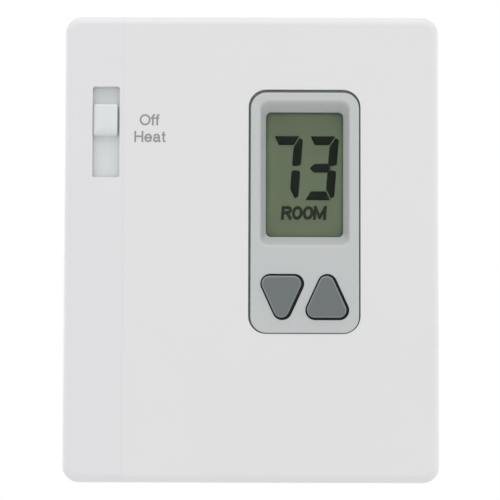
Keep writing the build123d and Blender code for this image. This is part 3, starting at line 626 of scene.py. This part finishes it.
# %% [markdown]
# ## Board and cells
# Pulling the front off the wall plate shows the cells, the contacts and the terminals, and the vents show
# parts of the board, so the inside is finished too. A board's tracks could be modelled, but they are
# hundreds of hair-thin strips. A brick texture gives the same stepped pattern: its mortar is the lighter
# green over copper. A cell's jacket is a dark sleeve with a bright band, split at one height.

# %% Board mask
mask_dark = (0.010, 0.085, 0.030, 1)
mask_light = (0.012, 0.10, 0.035, 1)
track_color = (0.03, 0.19, 0.06, 1)
track_scale = 120.0
track_width = 0.03
track_relief = 0.25
track_height = 0.03 * MM
mask_speck = 900.0
mask_gloss = (0.2, 0.35)


def board_mask():
    """Green solder mask, with tracks that stand a little lighter and higher."""
    made, tree, shader = blank_material("board mask")
    upright = {"Vector": object_place(tree), "Rotation": (radians(90), 0, 0)}
    tracks = add_node(tree, "ShaderNodeTexBrick", {
        "Vector": add_node(tree, "ShaderNodeMapping", upright).outputs["Vector"],
        "Color1": mask_light, "Color2": mask_dark, "Mortar": track_color,
        "Scale": track_scale, "Mortar Size": track_width,
    })
    gloss = between(tree, object_noise(tree, mask_speck), *mask_gloss)
    normal = relief(tree, tracks.outputs["Fac"], track_relief, track_height)
    plug(tree, shader, {"Base Color": tracks.outputs["Color"], "Roughness": gloss, "Normal": normal})
    return made


dress(board_mask(), "circuit_board")
print("board:", nodes["circuit_board"].data.materials[0].name)

# %% Cell jacket
sleeve_color = (0.05, 0.055, 0.065)
band_color = (0.42, 0.43, 0.45)
band_foot = 12 * MM
jacket_speck = 700.0
jacket_gloss = (0.22, 0.34)


def cell_jacket():
    """A printed cell jacket: dark sleeve with a bright band at one end."""
    made, tree, shader = blank_material("cell jacket")
    band = math_node(tree, "GREATER_THAN", object_axes(tree)["Z"], band_foot)
    gloss = between(tree, object_noise(tree, jacket_speck), *jacket_gloss)
    plug(tree, shader, {"Base Color": two_tones(tree, band, sleeve_color, band_color), "Roughness": gloss})
    return made


dress(cell_jacket(), "left_cell", "right_cell")
print("cells:", nodes["left_cell"].data.materials[0].name)

# %% [markdown]
# ## The rest of the inside
# What is left is moulded or metal, and both makers are ready, so each finish is one line: a name,
# a colour, a roughness and the nodes that wear it. The streaks of the reflector film aren't stretched,
# because it is rolled and not turned.

# %% Inside finishes
black_color = (0.022, 0.022, 0.024)
rubber_color = (0.03, 0.03, 0.032)
black_resin = moulded_plastic("black resin", black_color, satin, grain=5000.0, depth=0.02 * MM)
rubber = moulded_plastic("contact rubber", rubber_color, roughness=0.75, grain=2500.0, depth=0.04 * MM)
dress(black_resin, "terminal_block", "plug_bar", "controller_chip", "slide_switch_base", "resistors")
dress(black_resin, "up_switch_body", "down_switch_body", "slide_switch_lever", "lcd_frame")
dress(moulded_plastic("plunger resin", (0.45, 0.43, 0.38), satin), "up_plunger", "down_plunger")
dress(moulded_plastic("relay resin", (0.03, 0.10, 0.36), 0.4), "heat_relay")
dress(rubber, "lcd_contact_strips")
dress(moulded_plastic("sensor bead", (0.16, 0.07, 0.02), 0.3, grain=2500.0), "temperature_sensor")
dress(metal("zinc steel", (0.62, 0.63, 0.65), 0.32), "case_screws", "terminal_screws", "slide_switch_can")
dress(metal("nickel strip", (0.70, 0.68, 0.64), 0.25), "cell_bridge", "cell_negative", "cell_positive")
dress(metal("brass", (0.75, 0.55, 0.25), 0.28), "terminal_plates", "plug_pins", "slide_switch_contact")
dress(metal("drawn can", (0.74, 0.75, 0.76), 0.22), "clock_crystal", "capacitors")
dress(metal("reflector film", (0.62, 0.66, 0.58), 0.5, stretch=1.0), "lcd_reflector")
print("finishes on the nodes:", len({node.data.materials[0].name for node in nodes.values()}))

# %% [markdown]
# ## The switch knob
# The finger piece of the slide switch is a soft block: its foot rolls away over a wide curve and its left
# side comes close to the slot's wall. Behind it are the plate that closes the slot and the boss that grips
# the lever. A Bevel would give all four edges one width, so the knob is a loft instead: rounded rectangles
# are stacked from the face back to the boss, and near the face each side is drawn in along its own curve.

# %% Rings
corner_steps = 6


def rounded_ring(low_x, high_x, low_z, high_z, corner, y):
    """Points of an upright rectangle with round corners, in the plane at y."""
    ring = []
    middles = (
        (high_x - corner, high_z - corner), (low_x + corner, high_z - corner),
        (low_x + corner, low_z + corner), (high_x - corner, low_z + corner),
    )
    for quarter, (x, z) in enumerate(middles):
        for step in range(corner_steps + 1):
            turn = radians(90 * (quarter + step / corner_steps))
            ring.append((x + corner * cos(turn), y, z + corner * sin(turn)))
    return ring


print("a ring has", len(rounded_ring(0, 1, 0, 1, 0.1, 0)), "points")

# %% Meshes and pieces
sharp_step = radians(30)


def finished_mesh(name, made):
    """A mesh from a bmesh, with its faces turned outwards."""
    bmesh.ops.recalc_face_normals(made, faces=made.faces)
    mesh = bpy.data.meshes.new(name)
    made.to_mesh(mesh)
    made.free()
    return mesh


def loft(name, rings):
    """A closed mesh through rings that have equally many points, smooth except at sharp steps."""
    made = bmesh.new()
    loops = [[made.verts.new(point) for point in ring] for ring in rings]
    for first, second in zip(loops, loops[1:]):
        for index in range(len(first)):
            after = (index + 1) % len(first)
            made.faces.new((first[index], first[after], second[after], second[index]))
    made.faces.new(loops[0])
    made.faces.new(loops[-1])
    mesh = finished_mesh(name, made)
    mesh.shade_smooth()
    mesh.set_sharp_from_angle(angle=sharp_step)
    return mesh


def show_mesh(name, mesh, material, body, slot_name):
    """Links a finished mesh as a piece that rides on a body."""
    piece = bpy.data.objects.new(name, mesh)
    mesh.materials.clear()
    mesh.materials.append(material)
    bpy.context.scene.collection.objects.link(piece)
    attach(piece, body)
    return piece


print("piece makers ready:", loft.__name__, show_mesh.__name__)

# %% Knob sizes
knob_low, knob_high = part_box("switch_knob")
knob_middle = (knob_low + knob_high) / 2
knob_half = (knob_high - knob_low) / 2
plate_sunk = 1.9 * MM
plate_thick = 1.0 * MM
plate_front = face_y + plate_sunk
plate_back = plate_front + plate_thick
# The points of the solid near the face belong to its finger piece
finger = [v.co for v in nodes["switch_knob"].data.vertices if v.co.y < (face_y + plate_front) / 2]
# On the left, the slope's foot reaches a little further towards the slot's wall than the solid does
finger_spread = 0.25 * MM
finger_left = min(point.x for point in finger) - finger_spread
finger_right = max(point.x for point in finger)
finger_foot = min(point.z for point in finger)
finger_head = max(point.z for point in finger)
finger_corner = 0.5 * MM
plate_corner = 0.1 * MM
lever_half_x = 1.45 * MM
lever_half_z = 1.85 * MM
lever_reach = 1.55 * MM
boss_wall = 1.15 * MM
print("finger piece", round((finger_right - finger_left) / MM, 2), "mm wide")

# %% Finger piece
# An edge's curve is its width, its height and its power: 2 is an ellipse, and 1 a straight slope
left_curve = (1.25 * MM, 1.2 * MM, 1.2)
right_curve = (0.3 * MM, 0.3 * MM, 2.0)
foot_curve = (2.3 * MM, 1.9 * MM, 2.0)
head_curve = (0.6 * MM, 0.6 * MM, 2.0)
finger_steps = 18


def drawn_in(curve, depth):
    """How far an edge with this curve is drawn in at a depth behind the face."""
    width, height, power = curve
    rise = 1 - min(depth / height, 1)
    return width * (1 - (1 - rise**power) ** (1 / power))


def finger_rings():
    """Rings of the finger piece, from its flat face down to the plate, closest together at the face."""
    rings = []
    for step in range(finger_steps + 1):
        depth = (plate_front - knob_low.y) * (1 - cos(radians(90 * step / finger_steps)))
        rings.append(rounded_ring(
            finger_left + drawn_in(left_curve, depth), finger_right - drawn_in(right_curve, depth),
            finger_foot + drawn_in(foot_curve, depth), finger_head - drawn_in(head_curve, depth),
            finger_corner, knob_low.y + depth,
        ))
    return rings


print("rings of the finger piece:", len(finger_rings()))

# %% Knob
knob_color = (0.700, 0.722, 0.730)
lever_z = (finger_foot + finger_head) / 2
plate = (knob_middle.x, knob_middle.z, knob_half.x, knob_half.z)
boss = (knob_middle.x, lever_z, lever_half_x + boss_wall, lever_half_z + boss_wall)
pocket = (knob_middle.x, lever_z, lever_half_x, lever_half_z)


def block_ring(block, y):
    """A ring of the plate, the boss or the lever's pocket, each given by its middle and its halves."""
    x, z, half_x, half_z = block
    return rounded_ring(x - half_x, x + half_x, z - half_z, z + half_z, plate_corner, y)


knob_mesh = loft("knob", finger_rings() + [
    block_ring(plate, plate_front),
    block_ring(plate, plate_back),
    block_ring(boss, plate_back),
    block_ring(boss, knob_high.y),
    block_ring(pocket, knob_high.y),
    block_ring(pocket, plate_back - lever_reach),
])
knob_resin = moulded_plastic("knob resin", knob_color, skin_roughness)
knob = show_mesh("knob", knob_mesh, knob_resin, "system_switch", "cover_plastic")
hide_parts("switch_knob")
print("knob faces:", len(knob_mesh.polygons))

# %% [markdown]
# ## Figures on the display
# A seven-segment figure is seven bars set out on one slanted box, and a figure is named by its lit bars.
# Bars could be drawn one by one, but they follow a rule: the top and bottom bars are trapezoids, the side
# bars are cut to run along them with a thin gap, and the middle bar has a point at both ends.
# The lower half of the box is the upper half turned over, so only three outlines are written down.
# They are thin plates on the front glass, so they also keep a real edge in a close view.

# %% Top and side bars
figure_height = 16.1 * MM
figure_width = 7.2 * MM
bar_width = 2.25 * MM
side_width = 2.22 * MM
bar_mitre = 1.25 * MM
bar_tip = 0.95 * MM
bar_gap = 0.3 * MM
corner_cut = 0.45 * MM
waist_gap = 0.45 * MM


def top_bar():
    """The top bar: a trapezoid with its long side up, short of the box's right corner."""
    right = figure_width - bar_tip
    low = figure_height - bar_width
    return [(0, figure_height), (right, figure_height), (right - bar_mitre, low), (bar_mitre, low)]


def upper_side_bar():
    """The upper right bar: it runs along the top bar's slanted end and has a blunt point at the waist."""
    inner = figure_width - side_width
    slope = bar_width / bar_mitre
    slant_top = figure_height - corner_cut
    slant_x = figure_width - bar_tip + bar_gap - corner_cut / slope
    waist = figure_height / 2 + waist_gap
    return [
        (slant_x, slant_top),
        (figure_width, slant_top - corner_cut),
        (figure_width, waist + corner_cut),
        (figure_width - side_width / 2, waist),
        (inner, waist + corner_cut / 2),
        (inner, slant_top - (slant_x - inner) * slope),
    ]


print("points of the top bar:", len(top_bar()), "and of a side bar:", len(upper_side_bar()))

# %% Middle bar and lower half


def middle_bar():
    """The middle bar: a flat six-sided bar with its right point between the two side bars."""
    middle = figure_height / 2
    left = corner_cut
    right = figure_width - side_width + 2 * corner_cut
    half = bar_width / 2
    return [
        (left, middle),
        (left + half, middle + half),
        (right - half, middle + half),
        (right, middle),
        (right - half, middle - half),
        (left + half, middle - half),
    ]


def turned_over(outline):
    """The same outline in the lower half of the box."""
    return [(x, figure_height - z) for x, z in outline][::-1]


bars = {
    "top": top_bar(),
    "upper_right": upper_side_bar(),
    "middle": middle_bar(),
    "lower_right": turned_over(upper_side_bar()),
    "bottom": turned_over(top_bar()),
}
print("bars:", {name: len(outline) for name, outline in bars.items()})

# %% Ink of the figures
bar_dark = (0.004, 0.008, 0.005)
bar_light = (0.007, 0.012, 0.008)
bar_mottle = 1200.0


def figure_ink():
    """The dark green-black of an energised bar."""
    made, tree, shader = blank_material("figure ink")
    color = two_tones(tree, object_noise(tree, bar_mottle), bar_dark, bar_light)
    plug(tree, shader, {"Base Color": color, "Roughness": 0.5, "Specular IOR Level": 0.05})
    return made


lit_ink = figure_ink()
print("ink:", lit_ink.name)

# %% Figures on the glass
figure_lean = tan(radians(4.6))
figure_pitch = 9.0 * MM
figure_lift = 0.02 * MM
figure_thick = 0.04 * MM
figures_left = glass_middle.x - 8.775 * MM
figures_foot = glass_middle.z - 6.26 * MM
lit_bars = {
    "seven": ("top", "upper_right", "lower_right"),
    "three": ("top", "upper_right", "middle", "lower_right", "bottom"),
}


def add_plate(made, outline, y_back):
    """Adds a flat plate with this outline in X and Z to a bmesh, its back at y_back."""
    back = [made.verts.new((x, y_back, z)) for x, z in outline]
    front = [made.verts.new((x, y_back - figure_thick, z)) for x, z in outline]
    made.faces.new(front)
    made.faces.new(back[::-1])
    for index in range(len(outline)):
        after = (index + 1) % len(outline)
        made.faces.new((back[index], back[after], front[after], front[index]))


for order, (figure, lit) in enumerate(lit_bars.items()):
    plates = bmesh.new()
    left = figures_left + order * figure_pitch
    for bar in lit:
        outline = [(left + x + z * figure_lean, figures_foot + z) for x, z in bars[bar]]
        add_plate(plates, outline, glass_low.y - figure_lift)
    mesh = finished_mesh("figure_" + figure, plates)
    piece = show_mesh("figure_" + figure, mesh, lit_ink, "front_unit", "lcd_glass")
    print(piece.name, "lit bars", len(lit), "faces", len(mesh.polygons))

# %% [markdown]
# ## Printed words
# Small printed letters are strokes of one width along a path, which is just what Curve to Mesh in
# Geometry Nodes does: a flat rectangle follows each path. A text object would be quicker, but its built-in
# letters are of another style, and the words here want plain, even strokes and a bold slanted cut too.

# %% The stroke tree


def stroke_tree():
    """Geometry nodes that lay a flat rectangle along every path of a curve."""
    tree = bpy.data.node_groups.new("printed stroke", "GeometryNodeTree")
    tree.interface.new_socket("Geometry", in_out="INPUT", socket_type="NodeSocketGeometry")
    for name in ("Weight", "Thickness"):
        tree.interface.new_socket(name, in_out="INPUT", socket_type=FLOAT)
    tree.interface.new_socket("Ink", in_out="INPUT", socket_type="NodeSocketMaterial")
    tree.interface.new_socket("Geometry", in_out="OUTPUT", socket_type="NodeSocketGeometry")
    given = tree.nodes.new("NodeGroupInput").outputs
    level = add_node(tree, "GeometryNodeSetCurveNormal", {"Curve": given["Geometry"]}, mode="Z_UP")
    section = add_node(tree, "GeometryNodeCurvePrimitiveQuadrilateral", {
        "Width": given["Weight"], "Height": given["Thickness"],
    })
    sweep = add_node(tree, "GeometryNodeCurveToMesh", {
        "Curve": level.outputs["Curve"], "Profile Curve": section.outputs["Curve"], "Fill Caps": True,
    })
    plain = add_node(tree, "GeometryNodeRealizeInstances", {"Geometry": sweep.outputs["Mesh"]})
    paint = add_node(tree, "GeometryNodeSetMaterial", {
        "Geometry": plain.outputs["Geometry"], "Material": given["Ink"],
    })
    add_node(tree, "NodeGroupOutput", {"Geometry": paint.outputs["Geometry"]})
    return tree


strokes = stroke_tree()
print("tree:", strokes.name, [s.name for s in strokes.interface.items_tree if s.in_out == "INPUT"])

# %% [markdown]
# ## The alphabet
# A letter is a width and a list of paths, in a box that is one unit high and one unit wide, so one
# alphabet serves every size and weight. Letters could be traced point by point, but a plain alphabet is
# only straight runs and arcs: the arc function's angles are in degrees, counted from the right, upwards.

# %% The alphabet
arc_steps = 16
lower_case = 0.72
crossbar = 0.68


def arc(x, z, across, up, start, end):
    """Points of an elliptic arc round (x, z)."""
    turn = [radians(start + (end - start) * i / arc_steps) for i in range(arc_steps + 1)]
    return [(x + across * cos(t), z + up * sin(t)) for t in turn]


a_stem = arc(0.46, 0.5, 0.4, lower_case - 0.5, 160, 0) + [(0.86, 0.1)] + arc(1, 0.1, 0.14, 0.1, 180, 250)
a_bowl = [(0.86, 0.42)] + arc(0.34, 0.19, 0.34, 0.19, 90, 290) + [(0.86, 0.15)]
e_bowl = arc(0.5, lower_case / 2, 0.5, lower_case / 2, 5, 325)
f_stem = [(0.45, 0)] + arc(1, 0.8, 0.55, 0.2, 180, 90)
t_stem = [(0.42, 0.92)] + arc(0.95, 0.13, 0.53, 0.13, 180, 270)
r_bowl = [(0, 1)] + arc(0.6, 0.76, 0.36, 0.24, 90, -90) + [(0, 0.52)]
short_bar = [(0, crossbar), (0.95, crossbar)]
left_stem = [(0, 0), (0, 1)]
alphabet = {
    "O": (0.97, [arc(0.5, 0.5, 0.5, 0.5, 0, 360)]),
    "f": (0.36, [f_stem, short_bar]),
    "H": (0.79, [left_stem, [(1, 0), (1, 1)], [(0, 0.52), (1, 0.52)]]),
    "e": (0.69, [e_bowl, [(0, 0.37), (1, 0.37)]]),
    "a": (0.68, [a_stem, a_bowl]),
    "t": (0.34, [t_stem, short_bar]),
    "R": (0.95, [left_stem, r_bowl, [(0.55, 0.52), (1, 0)]]),
    "M": (1.16, [left_stem, [(0, 1), (0.5, 0.1)], [(0.5, 0.1), (1, 1)], [(1, 1), (1, 0)]]),
}
print("letters:", " ".join(alphabet))

# %% [markdown]
# ## From letters to a word
# The letters of a word are set side by side with equal spaces, and every path becomes a spline of one
# curve. Where strokes cross, their faces would lie in one plane and flicker, so the strokes take turns on
# four layers, each a hair higher than the last. A flat curve with a bevel could be the print as well, but
# the swept strokes are a plain mesh, which then gets its place.

# %% Paths of a word


def is_closed(points, weight):
    """Whether a path ends where it began."""
    return (points[0] - points[-1]).length < weight / 10


def square_ends(points, weight):
    """An open path made longer by half a stroke at both ends; a closed one stays as it is."""
    if is_closed(points, weight):
        return points
    first = points[0] + (points[0] - points[1]).normalized() * weight / 2
    last = points[-1] + (points[-1] - points[-2]).normalized() * weight / 2
    return [first] + points[1:-1] + [last]


def word_paths(letters, wide, tall, weight, squeeze):
    """All the paths of a word, centred on the origin and spaced out to its full width."""
    widths = [alphabet[letter][0] * tall * squeeze for letter in letters]
    space = (wide - sum(widths)) / (len(letters) - 1)
    paths = []
    left = -wide / 2
    for letter, across in zip(letters, widths):
        for path in alphabet[letter][1]:
            points = [
                Vector((left + weight / 2 + x * (across - weight), (z - 0.5) * (tall - weight)))
                for x, z in path
            ]
            paths.append(square_ends(points, weight))
        left += across + space
    return paths


print("paths in Off:", len(word_paths("Off", 1, 1, 0.1, 1)))

# %% A word as a curve
stroke_layers = 4
stroke_step = 0.002 * MM


def word_curve(name, paths, weight, lean):
    """A curve with one spline for each path, leaning to the right."""
    curve = bpy.data.curves.new(name, "CURVE")
    curve.dimensions = "3D"
    for order, path in enumerate(paths):
        closed = is_closed(path, weight)
        points = path[:-1] if closed else path
        spline = curve.splines.new("POLY")
        spline.points.add(len(points) - 1)
        spline.use_cyclic_u = closed
        for point, (x, z) in zip(spline.points, points):
            point.co = (x + z * lean, z, order % stroke_layers * stroke_step, 1)
    return curve


print("curve maker ready:", word_curve.__name__)

# %% A word as a mesh
print_thick = 0.03 * MM
print_lift = 0.005 * MM


def swept_mesh(curve, weight, ink):
    """The mesh that the stroke tree makes of a curve."""
    holder = bpy.data.objects.new(curve.name + "_paths", curve)
    bpy.context.scene.collection.objects.link(holder)
    sweep = holder.modifiers.new("strokes", "NODES")
    sweep.node_group = strokes
    values = {"Weight": weight, "Thickness": print_thick, "Ink": ink}
    for socket in strokes.interface.items_tree:
        if socket.in_out == "INPUT" and socket.name in values:
            sweep[socket.identifier] = values[socket.name]
    graph = bpy.context.evaluated_depsgraph_get()
    mesh = bpy.data.meshes.new_from_object(holder.evaluated_get(graph))
    bpy.data.objects.remove(holder)
    return mesh


def word(name, letters, middle, wide, tall, weight, y_back, ink, slot_name, squeeze=1.0, lean=0.0):
    """A printed word, stood up in the XZ plane at its place."""
    paths = word_paths(letters, wide, tall, weight, squeeze)
    mesh = swept_mesh(word_curve(name, paths, weight, lean), weight, ink)
    mesh.name = name
    front = y_back - print_lift - print_thick / 2
    for vert in mesh.vertices:
        x, z, depth = vert.co
        vert.co = (middle[0] + x, front - depth, middle[1] + z)
    piece = show_mesh(name, mesh, ink, "front_unit", slot_name)
    print(name, "faces", len(mesh.polygons))
    return piece


print("word maker ready:", word.__name__)

# %% [markdown]
# ## Words on the face and on the glass
# Off and Heat are printed beside the switch, level with the knob's two places, in a mid-grey ink.
# The word under the figures is a segment of the liquid crystal, so it is nearly as dark as they are, bold,
# and leans as they do. One flat grey would be simpler, but ink is never quite even, so a fine noise shifts
# both colours a little.

# %% Inks
ink_uneven = 0.1
ink_grain = 2600.0
label_grey = (0.315, 0.315, 0.315)
segment_black = (0.016, 0.024, 0.013)


def print_ink(name, color):
    """An ink that is slightly uneven, as a screen print is."""
    made, tree, shader = blank_material(name)
    thin = [channel * (1 - ink_uneven) for channel in color]
    thick = [channel * (1 + ink_uneven) for channel in color]
    grain = object_noise(tree, ink_grain, detail=3.0)
    shown = two_tones(tree, grain, thin, thick, start=0.25, end=0.75)
    plug(tree, shader, {"Base Color": shown, "Roughness": 0.6, "Specular IOR Level": 0.2})
    return made


label_ink = print_ink("label ink", label_grey)
segment_ink = print_ink("display word ink", segment_black)
print("inks:", label_ink.name, segment_ink.name)

# %% Words
face_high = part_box("front_cover")[1].z
off_place = (-25.4 * MM, face_high - 26.46 * MM)
off_wide = 4.9 * MM
heat_place = (-25.26 * MM, face_high - 30.66 * MM)
heat_wide = 7.75 * MM
room_place = (glass_middle.x - 0.1 * MM, glass_middle.z - 9.45 * MM)
room_wide = 11.3 * MM
label_style = {
    "tall": 2.8 * MM, "weight": 0.42 * MM,
    "y_back": face_y, "ink": label_ink, "slot_name": "cover_plastic",
}
segment_style = {
    "tall": 3.45 * MM, "weight": 0.78 * MM, "squeeze": 0.82, "lean": figure_lean,
    "y_back": glass_low.y, "ink": segment_ink, "slot_name": "lcd_glass",
}
word("word_off", "Off", off_place, off_wide, **label_style)
word("word_heat", "Heat", heat_place, heat_wide, **label_style)
word("word_room", "ROOM", room_place, room_wide, **segment_style)

# %% [markdown]
# ## Floor
# A plain pale sheet under the object catches its shadow and throws soft light up at its underside.
# Seen from above, the sheet's far edge would draw a line across the white, so what the camera sees of it
# fades to white away from the object, while the light that it throws back stays that of a pale sheet.

# %% Floor
floor_drop = -160 * MM
floor_half = 900 * MM
fade_start = 250 * MM
fade_end = 750 * MM
floor_dark = (0.86, 0.86, 0.86)
floor_light = (0.9, 0.9, 0.9)
floor_cloud = 3.0


def pale_sheet():
    """A pale matt finish, faintly uneven, that is seen as white away from the object."""
    made, tree, shader = blank_material("pale floor")
    color = two_tones(tree, object_noise(tree, floor_cloud), floor_dark, floor_light)
    plug(tree, shader, {"Base Color": color, "Roughness": 0.9})
    distance = add_node(tree, "ShaderNodeVectorMath", {0: object_place(tree)}, operation="LENGTH")
    far = map_range(tree, distance.outputs["Value"], fade_start, fade_end, 0.0, 1.0)
    glow = add_node(tree, "ShaderNodeEmission", {"Color": white, "Strength": 1.0})
    faded = math_node(tree, "MULTIPLY", far, seen_rays(tree))
    mixed = mix_shaders(tree, faded, shader.outputs["BSDF"], glow.outputs["Emission"])
    plug(tree, tree.nodes["Material Output"], {"Surface": mixed})
    return made


def pale_floor():
    """A flat square below the object, which isn't part of it."""
    sheet = bmesh.new()
    corners = [(-1, -1), (1, -1), (1, 1), (-1, 1)]
    sheet.faces.new([sheet.verts.new((floor_half * x, floor_half * y, floor_drop)) for x, y in corners])
    mesh = bpy.data.meshes.new("floor")
    sheet.to_mesh(mesh)
    sheet.free()
    mesh.materials.append(pale_sheet())
    floor = bpy.data.objects.new("floor", mesh)
    bpy.context.scene.collection.objects.link(floor)
    return floor


print("floor:", pale_floor().name)
